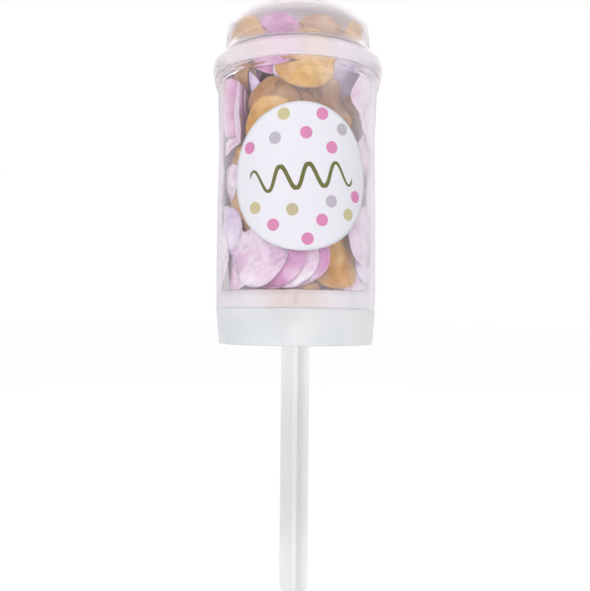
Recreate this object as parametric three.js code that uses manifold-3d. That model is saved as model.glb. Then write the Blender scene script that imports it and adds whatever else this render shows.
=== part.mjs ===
// Confetti push pop: a clear tube with a domed lid, a plunger pushed up from below by a stick of
// plus-shaped section, and a charge of round paper confetti between the plunger and the lid.
// Millimetres, +Z up. The origin is the centre of the tube's bottom rim, and the label faces -Y.

import * as THREE from 'three';
import { mergeVertices } from 'three/addons/utils/BufferGeometryUtils.js';
import Module from 'manifold-3d';

const wasm = await Module();
wasm.setup();

// Fits
const SEAT_GAP = 0.3; // between faces that rest on each other
const PLUNGER_CLEARANCE = 0.3; // round the piston in the bore
const LID_CLEARANCE = 0.35; // between the barrel's neck and the lid's skirt
const STICKER_GAP = 0.2; // between the tube and the label

// Barrel
const TUBE_RADIUS = 23.5;
const TUBE_WALL = 1.0;
const TUBE_HEIGHT = 82;
const FOOT_DRAW = 0.8; // how far the outside narrows towards the bottom rim
const FOOT_ROUND = 0.4;
const TAPER_HEIGHT = 27;
const LEDGE_HEIGHT = 10.2;
const LEDGE_WIDTH = 1.2;
const NECK_WALL = 0.85;
const NECK_HEIGHT = 5.3;
const STOP_FLARE = 0.8; // the bead that the lid comes down on
const STOP_HEIGHT = 2.7;
const SNAP_RIDGE = 0.15;
const SNAP_RIDGE_DROP = 2.2; // below the mouth
const SNAP_RIDGE_SLOPE = 0.5; // height of each of its two flanks
const EDGE_BREAK = 0.25;

// Lid
const LID_WALL = 0.9;
const LID_EDGE_WALL = 0.75;
const LID_BULGE_WALL = 1.23;
const LID_BULGE_RISE = 3.3; // above the skirt's lower edge
const SHOULDER_RISE = 10;
const SHOULDER_PULL = 3.2; // how far the shoulder's curve follows the skirt and the dome
const DOME_INSET = 3.58; // from the bulge
const DOME_DRAFT = 0.4;
const DOME_WALL_HEIGHT = 4.4;
const CROWN_HEIGHT = 4.9;
const CROWN_FULLNESS = 2.6; // 2 is an ellipse, and more is squarer

// Piston
const PISTON_HEIGHT = 4.7;
const PLATE_THICKNESS = 1.2;
const RIM_WALL = 1.0;
const RIM_ROUND = 0.5;
const RIB_COUNT = 8;
const RIB_THICKNESS = 1.0;
const RIB_DEPTH = 2.8;
const SOCKET_LENGTH = 11;
const SOCKET_WALL = 1.45;
const LIP_HEIGHT = 1.2;
const FINGER_COUNT = 4;
const FINGER_SLOT_WIDTH = 1.3;
const FINGER_SLOT_HEIGHT = 7;

// Stick
const STICK_REACH = 74.3; // below the barrel's bottom rim
const BLADE_WIDTH = 8.4;
const BLADE_THICKNESS = 1.5;
const BLADE_ROUND = 3.0;
const COLLAR_RADIUS = 7.0;
const COLLAR_THICKNESS = 1.2;
const STICK_NECK_WIDTH = 8.2;
const BARB_WIDTH = 9.3;
const BARB_LAND = 0.8;
const TIP_WIDTH = 6.4;
const TIP_HEIGHT = 2.6;
const SOCKET_CLEARANCE = 0.25;

// Label
const LABEL_DIAMETER = 39.5;
const LABEL_THICKNESS = 0.2;
const LABEL_HEIGHT = 45.1; // of its middle above the bottom rim
const LABEL_TURN = 3.6; // degrees to the right

// Confetti
const PAPER_DIAMETER = 17;
const PAPER_THICKNESS = 0.4;
const PAPER_GAP = 0.3;
const FILL_TOP_DROP = 6.2; // from the inside of the crown to the top of the charge
const WALL_PAPER_TOP = 3.5; // how far paper on the wall may stand above the barrel's mouth
const CORE_DISCS = 16;
const CORE_TILT_LEAST = 18;
const CORE_TILT_MOST = 46;
const CORE_CURL = 1.2;
const CORE_CURL_BIAS = 0.3; // share of the pieces that curl down and not up
const CORE_FACING_STEP = 316; // degrees from one piece's way of leaning to the next one's
const BACK_ROWS = 4;
const BACK_FIRST_TURN = 104;
const BACK_LAST_TURN = 258;
const BACK_TURN_STEP = 51;
const BACK_STAGGER = 25;
const BACK_CURL = 2.5; // hundredths of the paper's diameter
const BACK_FOLD_STEP = 25; // degrees that the fold line turns from row to row
const SLOPE_MOST = 0.3; // of paper that leans on other paper

// Fineness
const ROUND_STEPS = 48;
const SMALL_STEPS = 24;
const PAPER_STEPS = 14;
const LABEL_RINGS = 4;
const PAPER_RINGS = 2;
const SAME_POINT = 1e-4;

// Sizes that follow from the ones above
const BORE_RADIUS = TUBE_RADIUS - TUBE_WALL;
const FOOT_RADIUS = TUBE_RADIUS - FOOT_DRAW;
const SKIRT_BORE = BORE_RADIUS - LEDGE_WIDTH;
const NECK_RADIUS = BORE_RADIUS + NECK_WALL;
const STOP_RADIUS = TUBE_RADIUS + STOP_FLARE;
const STOP_TOP = TUBE_HEIGHT - NECK_HEIGHT;
const STOP_BOTTOM = STOP_TOP - STOP_HEIGHT;
const LID_BOTTOM = STOP_TOP + SEAT_GAP;
const LID_BORE = NECK_RADIUS + LID_CLEARANCE;
const LID_EDGE_RADIUS = LID_BORE + LID_EDGE_WALL;
const LID_BULGE_RADIUS = LID_BORE + LID_BULGE_WALL;
const DOME_RADIUS = LID_BULGE_RADIUS - DOME_INSET;
const SHOULDER_TOP = LID_BOTTOM + SHOULDER_RISE;
const CROWN_BASE = SHOULDER_TOP + DOME_WALL_HEIGHT;
const CROWN_RADIUS = DOME_RADIUS - DOME_DRAFT;
const CROWN_INSIDE = CROWN_BASE + CROWN_HEIGHT - LID_WALL;
const PISTON_BOTTOM = LEDGE_HEIGHT + SEAT_GAP;
const PISTON_TOP = PISTON_BOTTOM + PISTON_HEIGHT;
const PISTON_RADIUS = BORE_RADIUS - PLUNGER_CLEARANCE;
const PLATE_BOTTOM = PISTON_TOP - PLATE_THICKNESS;
const SOCKET_BOTTOM = PLATE_BOTTOM - SOCKET_LENGTH;
const SOCKET_BORE = BARB_WIDTH / 2 + SOCKET_CLEARANCE;
const LIP_BORE = STICK_NECK_WIDTH / 2 + SOCKET_CLEARANCE;
const SOCKET_RADIUS = SOCKET_BORE + SOCKET_WALL;
const COLLAR_TOP = SOCKET_BOTTOM - SEAT_GAP;
const PAPER_RADIUS = PAPER_DIAMETER / 2;
const FILL_TOP = CROWN_INSIDE - FILL_TOP_DROP;
const LOWEST_PAPER = PISTON_TOP + PAPER_GAP + PAPER_RADIUS;
const HIGHEST_PAPER = TUBE_HEIGHT + WALL_PAPER_TOP - PAPER_RADIUS;

const radians = THREE.MathUtils.degToRad;

// A closed mesh as a solid that can be joined and cut
function toSolid(geometry) {
  const bare = geometry.clone();
  bare.deleteAttribute('normal');
  bare.deleteAttribute('uv');
  const merged = mergeVertices(bare, SAME_POINT);
  const corners = merged.index.array;
  const triangles = [];
  for (let i = 0; i < corners.length; i += 3) {
    const [a, b, c] = corners.slice(i, i + 3);
    if (a !== b && b !== c && c !== a) triangles.push(a, b, c);
  }
  return new wasm.Manifold(new wasm.Mesh({
    numProp: 3,
    vertProperties: merged.attributes.position.array,
    triVerts: Uint32Array.from(triangles),
  }));
}

function toGeometry(solid) {
  const mesh = solid.getMesh();
  const geometry = new THREE.BufferGeometry();
  geometry.setAttribute('position', new THREE.BufferAttribute(mesh.vertProperties, 3));
  geometry.setIndex(new THREE.BufferAttribute(mesh.triVerts, 1));
  geometry.computeVertexNormals();
  return geometry;
}

// A profile of radius and height turned round the Z axis. It runs up on the outside.
function turned(profile, steps = ROUND_STEPS) {
  const lathe = new THREE.LatheGeometry(profile, steps);
  lathe.rotateX(Math.PI / 2);
  return toSolid(lathe);
}

function point(radius, height) {
  return new THREE.Vector2(radius, height);
}

function arc(radius, height, size, fromDegrees, toDegrees, steps) {
  const points = [];
  for (let i = 0; i <= steps; i++) {
    const angle = radians(fromDegrees + ((toDegrees - fromDegrees) * i) / steps);
    points.push(point(radius + size * Math.cos(angle), height + size * Math.sin(angle)));
  }
  return points;
}

function bend(start, startPull, endPull, end, steps) {
  return new THREE.CubicBezierCurve(start, startPull, endPull, end).getPoints(steps);
}

function standingBox(width, depth, bottom, top, x, y, turn) {
  const box = new THREE.BoxGeometry(width, depth, top - bottom);
  box.translate(x, y, (top + bottom) / 2);
  box.rotateZ(turn);
  return toSolid(box);
}

function named(name, geometry, colour, roughness, opacity = 1) {
  const material = new THREE.MeshStandardMaterial({ color: colour, roughness, metalness: 0 });
  material.opacity = opacity;
  material.transparent = opacity < 1;
  const mesh = new THREE.Mesh(geometry, material);
  mesh.name = name;
  return mesh;
}

// Barrel: the outside climbs the taper, the stop bead and the neck. The inside comes down the bore
// to the ledge that holds the piston, and below it the skirt is thicker.
function barrel() {
  const flareMiddle = (STOP_BOTTOM + STOP_TOP) / 2;
  const ridge = TUBE_HEIGHT - SNAP_RIDGE_DROP;
  const profile = [
    point(SKIRT_BORE + EDGE_BREAK, 0),
    ...arc(FOOT_RADIUS - FOOT_ROUND, FOOT_ROUND, FOOT_ROUND, -90, 0, 3),
    point(TUBE_RADIUS, TAPER_HEIGHT),
    ...bend(
      point(TUBE_RADIUS, STOP_BOTTOM),
      point(TUBE_RADIUS, flareMiddle),
      point(STOP_RADIUS, flareMiddle),
      point(STOP_RADIUS, STOP_TOP - EDGE_BREAK),
      4,
    ),
    point(STOP_RADIUS - EDGE_BREAK, STOP_TOP),
    point(NECK_RADIUS, STOP_TOP),
    point(NECK_RADIUS, ridge - SNAP_RIDGE_SLOPE),
    point(NECK_RADIUS + SNAP_RIDGE, ridge),
    point(NECK_RADIUS, ridge + SNAP_RIDGE_SLOPE),
    point(NECK_RADIUS, TUBE_HEIGHT - EDGE_BREAK),
    point(NECK_RADIUS - EDGE_BREAK, TUBE_HEIGHT),
    point(BORE_RADIUS + EDGE_BREAK, TUBE_HEIGHT),
    point(BORE_RADIUS, TUBE_HEIGHT - EDGE_BREAK),
    point(BORE_RADIUS, LEDGE_HEIGHT),
    point(SKIRT_BORE, LEDGE_HEIGHT),
    point(SKIRT_BORE, EDGE_BREAK),
    point(SKIRT_BORE + EDGE_BREAK, 0),
  ];
  return named('barrel', toGeometry(turned(profile)), 0xf2eef4, 0.1, 0.3);
}

// One face of the lid's crown, from its middle out to its edge
function crown(radius, base, height, steps) {
  const points = [];
  for (let i = 0; i <= steps; i++) {
    const angle = (Math.PI / 2) * (1 - i / steps);
    const across = Math.max(Math.cos(angle), 0) ** (2 / CROWN_FULLNESS);
    const up = Math.max(Math.sin(angle), 0) ** (2 / CROWN_FULLNESS);
    points.push(point(i === 0 ? 0 : radius * across, base + height * up));
  }
  return points;
}

// Lid: the skirt goes over the barrel's neck, bulges, and comes in over the shoulder to the dome
function lid() {
  const insideDome = DOME_RADIUS - LID_WALL;
  const insideShoulder = SHOULDER_TOP - LID_WALL / 2;
  const boreTop = TUBE_HEIGHT - EDGE_BREAK;
  const bulge = LID_BOTTOM + LID_BULGE_RISE;
  const inside = [
    ...crown(CROWN_RADIUS - LID_WALL, CROWN_BASE, CROWN_HEIGHT - LID_WALL, 7),
    ...bend(
      point(insideDome, insideShoulder),
      point(insideDome, insideShoulder - SHOULDER_PULL),
      point(LID_BORE, boreTop + LID_WALL / 2),
      point(LID_BORE, boreTop),
      6,
    ),
    point(LID_BORE, LID_BOTTOM + EDGE_BREAK),
    point(LID_BORE + EDGE_BREAK, LID_BOTTOM),
  ];
  const outside = [
    point(LID_EDGE_RADIUS - EDGE_BREAK, LID_BOTTOM),
    ...bend(
      point(LID_EDGE_RADIUS, LID_BOTTOM + EDGE_BREAK),
      point(LID_BULGE_RADIUS - EDGE_BREAK, LID_BOTTOM + LID_BULGE_RISE / 2),
      point(LID_BULGE_RADIUS, bulge - 1),
      point(LID_BULGE_RADIUS, bulge),
      3,
    ),
    ...bend(
      point(LID_BULGE_RADIUS, bulge),
      point(LID_BULGE_RADIUS, bulge + SHOULDER_PULL),
      point(DOME_RADIUS, SHOULDER_TOP - SHOULDER_PULL),
      point(DOME_RADIUS, SHOULDER_TOP),
      7,
    ).slice(1),
    ...crown(CROWN_RADIUS, CROWN_BASE, CROWN_HEIGHT, 8).reverse(),
  ];
  return named('lid', toGeometry(turned([...inside, ...outside])), 0xf0ebf1, 0.25, 0.35);
}

// Piston: a plate with a rim that keeps it square, ribs under the plate, and a socket whose slotted
// fingers spring over the stick's barb and hold it by their inner lip
function piston() {
  const lipTop = SOCKET_BOTTOM + LIP_HEIGHT;
  const rimInside = PISTON_RADIUS - RIM_WALL;
  const profile = [
    point(0, PLATE_BOTTOM),
    point(SOCKET_BORE, PLATE_BOTTOM),
    point(SOCKET_BORE, lipTop + EDGE_BREAK),
    point(LIP_BORE, lipTop),
    point(LIP_BORE, SOCKET_BOTTOM + EDGE_BREAK),
    point(LIP_BORE + EDGE_BREAK, SOCKET_BOTTOM),
    point(SOCKET_RADIUS - EDGE_BREAK, SOCKET_BOTTOM),
    point(SOCKET_RADIUS, SOCKET_BOTTOM + EDGE_BREAK),
    point(SOCKET_RADIUS, PLATE_BOTTOM),
    point(rimInside, PLATE_BOTTOM),
    point(rimInside, PISTON_BOTTOM),
    point(PISTON_RADIUS, PISTON_BOTTOM),
    ...arc(PISTON_RADIUS - RIM_ROUND, PISTON_TOP - RIM_ROUND, RIM_ROUND, 0, 90, 2),
    point(0, PISTON_TOP),
  ];
  let body = turned(profile);
  const ribInside = (SOCKET_BORE + SOCKET_RADIUS) / 2;
  const ribOutside = rimInside + RIM_WALL / 2;
  for (let i = 0; i < RIB_COUNT; i++) {
    body = body.add(standingBox(
      ribOutside - ribInside, RIB_THICKNESS,
      PLATE_BOTTOM - RIB_DEPTH, PLATE_BOTTOM + PLATE_THICKNESS / 2,
      (ribOutside + ribInside) / 2, 0, (2 * Math.PI * i) / RIB_COUNT,
    ));
  }
  for (let i = 0; i < FINGER_COUNT; i++) {
    body = body.subtract(standingBox(
      2 * SOCKET_WALL + SOCKET_BORE - LIP_BORE, FINGER_SLOT_WIDTH,
      SOCKET_BOTTOM - EDGE_BREAK, SOCKET_BOTTOM + FINGER_SLOT_HEIGHT,
      (SOCKET_RADIUS + LIP_BORE) / 2, 0, (2 * Math.PI * (i + 0.5)) / FINGER_COUNT,
    ));
  }
  return named('piston', toGeometry(body), 0xf0ecf0, 0.3, 0.75);
}

// One blade of the stick with its rounded foot, its neck through the lip, and its barbed head
function blade() {
  const half = BLADE_WIDTH / 2;
  const barbBottom = SOCKET_BOTTOM + LIP_HEIGHT + EDGE_BREAK + SEAT_GAP;
  const barbTop = barbBottom + BARB_LAND;
  const foot = -STICK_REACH;
  const outline = new THREE.Shape();
  outline.moveTo(-half + BLADE_ROUND, foot);
  outline.lineTo(half - BLADE_ROUND, foot);
  outline.absarc(half - BLADE_ROUND, foot + BLADE_ROUND, BLADE_ROUND, -Math.PI / 2, 0, false);
  outline.lineTo(half, COLLAR_TOP - COLLAR_THICKNESS / 2);
  outline.lineTo(STICK_NECK_WIDTH / 2, COLLAR_TOP - COLLAR_THICKNESS / 2);
  outline.lineTo(STICK_NECK_WIDTH / 2, barbBottom);
  outline.lineTo(BARB_WIDTH / 2, barbBottom);
  outline.lineTo(BARB_WIDTH / 2, barbTop);
  outline.lineTo(TIP_WIDTH / 2, barbTop + TIP_HEIGHT);
  outline.lineTo(-TIP_WIDTH / 2, barbTop + TIP_HEIGHT);
  outline.lineTo(-BARB_WIDTH / 2, barbTop);
  outline.lineTo(-BARB_WIDTH / 2, barbBottom);
  outline.lineTo(-STICK_NECK_WIDTH / 2, barbBottom);
  outline.lineTo(-STICK_NECK_WIDTH / 2, COLLAR_TOP - COLLAR_THICKNESS / 2);
  outline.lineTo(-half, COLLAR_TOP - COLLAR_THICKNESS / 2);
  outline.lineTo(-half, foot + BLADE_ROUND);
  outline.absarc(-half + BLADE_ROUND, foot + BLADE_ROUND, BLADE_ROUND, Math.PI, 1.5 * Math.PI, false);
  const geometry = new THREE.ExtrudeGeometry(outline, {
    depth: BLADE_THICKNESS,
    bevelEnabled: false,
    curveSegments: 5,
  });
  geometry.translate(0, 0, -BLADE_THICKNESS / 2);
  geometry.rotateX(Math.PI / 2);
  return geometry;
}

// Stick: two crossed blades and the round collar that pushes on the piston's socket
function stick() {
  const round = COLLAR_THICKNESS / 4;
  const bottom = COLLAR_TOP - COLLAR_THICKNESS;
  const collar = turned([
    point(0, bottom),
    ...arc(COLLAR_RADIUS - round, bottom + round, round, -90, 0, 2),
    ...arc(COLLAR_RADIUS - round, COLLAR_TOP - round, round, 0, 90, 2),
    point(0, COLLAR_TOP),
  ], SMALL_STEPS);
  const body = toSolid(blade()).add(toSolid(blade().rotateZ(Math.PI / 2))).add(collar);
  return named('stick', toGeometry(body), 0xdedfe2, 0.35, 0.8);
}

// A thin round sheet. place(across, up, out) gives the point of the sheet's own coordinates.
function sheet(radius, thickness, rings, steps, place) {
  const profile = [];
  for (let i = 0; i <= rings; i++) profile.push(point((radius * i) / rings, 0));
  for (let i = rings; i >= 0; i--) profile.push(point((radius * i) / rings, thickness));
  const lathe = new THREE.LatheGeometry(profile, steps);
  const positions = lathe.attributes.position;
  for (let i = 0; i < positions.count; i++) {
    const spot = place(positions.getX(i), -positions.getZ(i), positions.getY(i));
    positions.setXYZ(i, spot.x, spot.y, spot.z);
  }
  return toGeometry(toSolid(lathe));
}

// A point at a turn round the axis, counted in radians from the front
function round(radius, turn, height) {
  return new THREE.Vector3(radius * Math.sin(turn), -radius * Math.cos(turn), height);
}

function label() {
  const back = TUBE_RADIUS + STICKER_GAP;
  const wrapped = sheet(LABEL_DIAMETER / 2, LABEL_THICKNESS, LABEL_RINGS, ROUND_STEPS, (across, up, out) =>
    round(back + out, radians(LABEL_TURN) + across / back, LABEL_HEIGHT + up));
  return named('label', wrapped, 0xf4f3fa, 0.6);
}

const PAPER_COLOURS = {
  light_pink: 0xf0cdea,
  pink: 0xd993cc,
  gold: 0xdaa85c,
  tan: 0xb98a62,
  lilac: 0xd3bfe0,
};

// Paper that leans on the wall, the piece nearest the wall first where two overlap.
// turn is in degrees to the right of the front. level is the share of the way from the lowest place,
// on the piston, to the highest, just above the barrel's mouth. The edges on both sides of a fold line
// stand in from it by curl, in hundredths of the paper's diameter, and fold is that line's turn.
const WALL_PAPER = [
  { colour: 'gold', turn: 5.5, level: 1, curl: 3.5, fold: 15 },
  { colour: 'light_pink', turn: -30, level: 0, curl: 3, fold: -10 },
  { colour: 'pink', turn: -16, level: 0.01, curl: 1.5, fold: -5 },
  { colour: 'light_pink', turn: -7, level: 0, curl: 1.5, fold: 5 },
  { colour: 'pink', turn: 1.5, level: 0.01, curl: 2, fold: 0 },
  { colour: 'light_pink', turn: 62, level: 0.13, curl: 3, fold: -25 },
  { colour: 'lilac', turn: 84, level: 0.01, curl: 2, fold: 0 },
  { colour: 'gold', turn: 38, level: 0, curl: 5, fold: 35 },
  { colour: 'lilac', turn: -72, level: 0.14, curl: 2, fold: 25 },
  { colour: 'tan', turn: -51, level: 0.22, curl: 3, fold: 40 },
  { colour: 'light_pink', turn: -54, level: 0, curl: 2, fold: 10 },
  { colour: 'light_pink', turn: -68, level: 0.36, curl: 2, fold: 0 },
  { colour: 'pink', turn: -68, level: 0.82, curl: 3, fold: 5 },
  { colour: 'light_pink', turn: -73, level: 0.73, curl: 2, fold: 20 },
  { colour: 'gold', turn: -66, level: 0.5, curl: 3, fold: -15 },
  { colour: 'gold', turn: -19, level: 0.66, curl: 2, fold: 20 },
  { colour: 'tan', turn: -22, level: 0.77, curl: 2, fold: -15 },
  { colour: 'light_pink', turn: 67, level: 0.88, curl: 3, fold: -25 },
  { colour: 'tan', turn: 29, level: 0.78, curl: 3, fold: 20 },
  { colour: 'light_pink', turn: 78, level: 0.57, curl: 2, fold: 10 },
  { colour: 'tan', turn: 62, level: 0.73, curl: 2, fold: 15 },
  { colour: 'lilac', turn: 42, level: 0.96, curl: 3, fold: -20 },
  { colour: 'tan', turn: -70, level: 0.98, curl: 3, fold: 30 },
  { colour: 'lilac', turn: 78, level: 0.3, curl: 3, fold: -10 },
];

// The back of the tube, which the list leaves free, is lined in staggered rows
function backPaper() {
  const papers = [];
  const colours = Object.keys(PAPER_COLOURS);
  for (let row = 0; row < BACK_ROWS; row++) {
    const level = row / (BACK_ROWS - 1);
    const first = BACK_FIRST_TURN + BACK_STAGGER * (row % 2);
    for (let turn = first; turn < BACK_LAST_TURN; turn += BACK_TURN_STEP) {
      const colour = colours[(papers.length * 2) % colours.length];
      const fold = BACK_FOLD_STEP * (row - 1);
      papers.push({ colour, turn, level, curl: BACK_CURL, fold });
    }
  }
  return papers;
}

// How far the paper on the wall has reached in, on a grid round the bore
const TURN_STEP = 1.5;
const RISE_STEP = 0.5;
const CELL_REACH = 0.4; // from a cell's middle to its corner
const TURN_CELLS = 360 / TURN_STEP;
const RISE_CELLS = Math.ceil(FILL_TOP / RISE_STEP) + 1;
const wallReach = Float64Array.from({ length: TURN_CELLS * RISE_CELLS }, (unused, cell) =>
  wallRadius((cell % RISE_CELLS) * RISE_STEP));

// The bore, and above it the lid, which narrows to its dome
function wallRadius(height) {
  const narrowing = SHOULDER_TOP - (LID_WALL + SHOULDER_PULL) / 2 - TUBE_HEIGHT;
  const share = THREE.MathUtils.clamp((height - TUBE_HEIGHT) / narrowing, 0, 1);
  return THREE.MathUtils.lerp(BORE_RADIUS, DOME_RADIUS - LID_WALL, share);
}

function eachWallCell(paper, visit) {
  const reach = Math.ceil(PAPER_RADIUS / RISE_STEP) + 1;
  const turnReach = Math.ceil(THREE.MathUtils.radToDeg(PAPER_RADIUS / paper.bend) / TURN_STEP) + 1;
  const middleTurn = Math.round(paper.turn / TURN_STEP);
  const middleRise = Math.round(paper.height / RISE_STEP);
  for (let i = middleTurn - turnReach; i <= middleTurn + turnReach; i++) {
    for (let j = middleRise - reach; j <= middleRise + reach; j++) {
      const across = radians(i * TURN_STEP - paper.turn) * paper.bend;
      const up = j * RISE_STEP - paper.height;
      if (Math.hypot(across, up) > PAPER_RADIUS + CELL_REACH) continue;
      const column = ((i % TURN_CELLS) + TURN_CELLS) % TURN_CELLS;
      visit(column * RISE_CELLS + j, across, up);
    }
  }
}

// How far a point of the paper stands in from its middle
function dip(paper, across, up) {
  const fold = radians(paper.fold);
  const side = (across * Math.cos(fold) + up * Math.sin(fold)) / PAPER_RADIUS;
  return paper.lean * up + paper.swing * across + (paper.curl / 100) * PAPER_DIAMETER * side ** 2;
}

// The slopes, up and across, at which the paper follows what it leans on
function leanOnOthers(paper) {
  let upSum = 0;
  let acrossSum = 0;
  let upSquares = 0;
  let acrossSquares = 0;
  eachWallCell(paper, (cell, across, up) => {
    upSum += up * wallReach[cell];
    acrossSum += across * wallReach[cell];
    upSquares += up * up;
    acrossSquares += across * across;
  });
  paper.lean = THREE.MathUtils.clamp(-upSum / upSquares, -SLOPE_MOST, SLOPE_MOST);
  paper.swing = THREE.MathUtils.clamp(-acrossSum / acrossSquares, -SLOPE_MOST, SLOPE_MOST);
}

// How far out from the axis the paper's middle can go
function wallRoom(paper) {
  let room = Infinity;
  eachWallCell(paper, (cell, across, up) => {
    room = Math.min(room, wallReach[cell] - PAPER_GAP + dip(paper, across, up));
  });
  return room;
}

// Each piece goes as near the wall as the ones before it let it. It bends to the radius where it
// lies, which is found by a first try at the bore's own radius.
function settleOnWall(paper) {
  paper.bend = BORE_RADIUS;
  leanOnOthers(paper);
  paper.bend = wallRoom(paper) - PAPER_THICKNESS;
  leanOnOthers(paper);
  const base = wallRoom(paper);
  eachWallCell(paper, (cell, across, up) => {
    wallReach[cell] = Math.min(wallReach[cell], base - dip(paper, across, up) - PAPER_THICKNESS);
  });
  return base;
}

function paperMesh(colour, number, place) {
  const geometry = sheet(PAPER_RADIUS, PAPER_THICKNESS, PAPER_RINGS, PAPER_STEPS, place);
  const name = `confetti_${colour}_${String(number).padStart(2, '0')}`;
  return named(name, geometry, PAPER_COLOURS[colour], 0.8);
}

function wallConfetti() {
  const meshes = [];
  for (const paper of [...WALL_PAPER, ...backPaper()]) {
    paper.height = THREE.MathUtils.lerp(LOWEST_PAPER, HIGHEST_PAPER, paper.level);
    const base = settleOnWall(paper);
    meshes.push(paperMesh(paper.colour, meshes.length + 1, (across, up, out) => round(
      base - dip(paper, across, up) - PAPER_THICKNESS + out,
      radians(paper.turn) + across / paper.bend,
      paper.height + up,
    )));
  }
  return meshes;
}

// How high the loose paper in the middle has piled up, on a grid over the piston
const PILE_STEP = 0.25;
const PILE_CELLS = Math.ceil((2 * BORE_RADIUS) / PILE_STEP);
const EASE_MOST = 1.5;
const EASE_STEP = 0.05;

function pileHeight(pile, paper, visit) {
  const low = Math.floor((BORE_RADIUS - PAPER_RADIUS) / PILE_STEP) - 1;
  const size = 2 * Math.ceil(PAPER_RADIUS / PILE_STEP) + 4;
  const firstX = low + Math.round(paper.x / PILE_STEP);
  const firstY = low + Math.round(paper.y / PILE_STEP);
  const cosTilt = Math.cos(paper.tilt);
  for (let i = firstX; i < firstX + size; i++) {
    for (let j = firstY; j < firstY + size; j++) {
      const x = (i + 0.5) * PILE_STEP - BORE_RADIUS - paper.x;
      const y = (j + 0.5) * PILE_STEP - BORE_RADIUS - paper.y;
      const along = (x * Math.cos(paper.facing) + y * Math.sin(paper.facing)) / cosTilt;
      const across = y * Math.cos(paper.facing) - x * Math.sin(paper.facing);
      if (Math.hypot(along, across) > PAPER_RADIUS + PILE_STEP) continue;
      visit(i * PILE_CELLS + j, climb(paper, along, across));
    }
  }
}

// How far a point of the paper lies above its middle
function climb(paper, along, across) {
  return along * Math.sin(paper.tilt) + paper.curl * (across / PAPER_RADIUS) ** 2;
}

// The loose paper drops in piece by piece, turned and tilted differently each time, and each comes
// to rest on what lies under it. ease scales every tilt: steep paper makes a higher pile.
function pileUp(ease) {
  const pile = new Float64Array(PILE_CELLS * PILE_CELLS).fill(PISTON_TOP);
  const coreRadius = Math.min(...wallReach) - PAPER_GAP;
  const offset = coreRadius - PAPER_RADIUS;
  const goldenTurn = Math.PI * (3 - Math.sqrt(5));
  const goldenStep = (Math.sqrt(5) - 1) / 2;
  const papers = [];
  for (let i = 0; i < CORE_DISCS; i++) {
    const share = (i * goldenStep) % 1;
    const paper = {
      x: offset * Math.cos(i * goldenTurn),
      y: offset * Math.sin(i * goldenTurn),
      tilt: ease * radians(CORE_TILT_LEAST + (CORE_TILT_MOST - CORE_TILT_LEAST) * share),
      facing: i * radians(CORE_FACING_STEP),
      curl: CORE_CURL * (share - CORE_CURL_BIAS),
      base: PISTON_TOP,
    };
    const rise = PAPER_THICKNESS / Math.cos(paper.tilt);
    pileHeight(pile, paper, (cell, height) => {
      paper.base = Math.max(paper.base, pile[cell] + PAPER_GAP - height);
    });
    pileHeight(pile, paper, (cell, height) => {
      pile[cell] = paper.base + height + rise;
    });
    papers.push(paper);
  }
  return { papers, top: pile.reduce((highest, height) => Math.max(highest, height)) };
}

// The steepest pile that still ends below the top of the charge
function steepestPile() {
  let ease = EASE_MOST;
  let pile = pileUp(ease);
  while (pile.top > FILL_TOP && ease > EASE_STEP) {
    ease -= EASE_STEP;
    pile = pileUp(ease);
  }
  return pile.papers;
}

function coreConfetti(firstNumber) {
  const colours = Object.keys(PAPER_COLOURS);
  return steepestPile().map((paper, i) => {
    const colour = colours[(i * 3) % colours.length];
    return paperMesh(colour, firstNumber + i, (along, across, out) => {
      const flat = along * Math.cos(paper.tilt);
      return new THREE.Vector3(
        paper.x + flat * Math.cos(paper.facing) - across * Math.sin(paper.facing),
        paper.y + flat * Math.sin(paper.facing) + across * Math.cos(paper.facing),
        paper.base + climb(paper, along, across) + out / Math.cos(paper.tilt),
      );
    });
  });
}

const pushPop = new THREE.Group();
pushPop.add(barrel(), lid(), piston(), stick(), label());
const onWall = wallConfetti();
pushPop.add(...onWall, ...coreConfetti(onWall.length + 1));

export default pushPop;
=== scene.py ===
import math
import random

import bmesh
import bpy
import numpy as np
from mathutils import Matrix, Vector


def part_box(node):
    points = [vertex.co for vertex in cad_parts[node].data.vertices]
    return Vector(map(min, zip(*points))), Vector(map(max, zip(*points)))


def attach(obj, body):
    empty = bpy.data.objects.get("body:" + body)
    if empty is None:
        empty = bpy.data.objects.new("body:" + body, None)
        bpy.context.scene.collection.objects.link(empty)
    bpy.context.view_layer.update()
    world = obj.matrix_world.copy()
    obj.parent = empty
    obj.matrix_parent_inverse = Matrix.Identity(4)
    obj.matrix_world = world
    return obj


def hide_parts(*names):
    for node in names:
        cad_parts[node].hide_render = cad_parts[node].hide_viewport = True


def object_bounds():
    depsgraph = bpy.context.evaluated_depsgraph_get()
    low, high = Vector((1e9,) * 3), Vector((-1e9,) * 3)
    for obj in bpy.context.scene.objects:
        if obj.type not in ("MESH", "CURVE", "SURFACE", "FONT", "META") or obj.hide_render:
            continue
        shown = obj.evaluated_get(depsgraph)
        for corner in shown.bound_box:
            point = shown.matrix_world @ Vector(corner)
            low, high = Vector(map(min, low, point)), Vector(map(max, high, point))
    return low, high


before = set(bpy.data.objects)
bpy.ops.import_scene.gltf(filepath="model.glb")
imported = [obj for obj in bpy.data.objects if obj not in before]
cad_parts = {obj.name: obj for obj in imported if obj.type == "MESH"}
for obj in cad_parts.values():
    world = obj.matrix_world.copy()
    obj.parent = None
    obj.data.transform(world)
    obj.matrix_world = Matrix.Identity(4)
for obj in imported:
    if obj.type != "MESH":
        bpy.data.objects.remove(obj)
cad_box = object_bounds()


# View, floor and light.
# The toy is seen level and from near by, so its top and its stick both show in perspective. It hangs
# just above a white floor, in the soft light of three large lamps and a white room.

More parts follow.
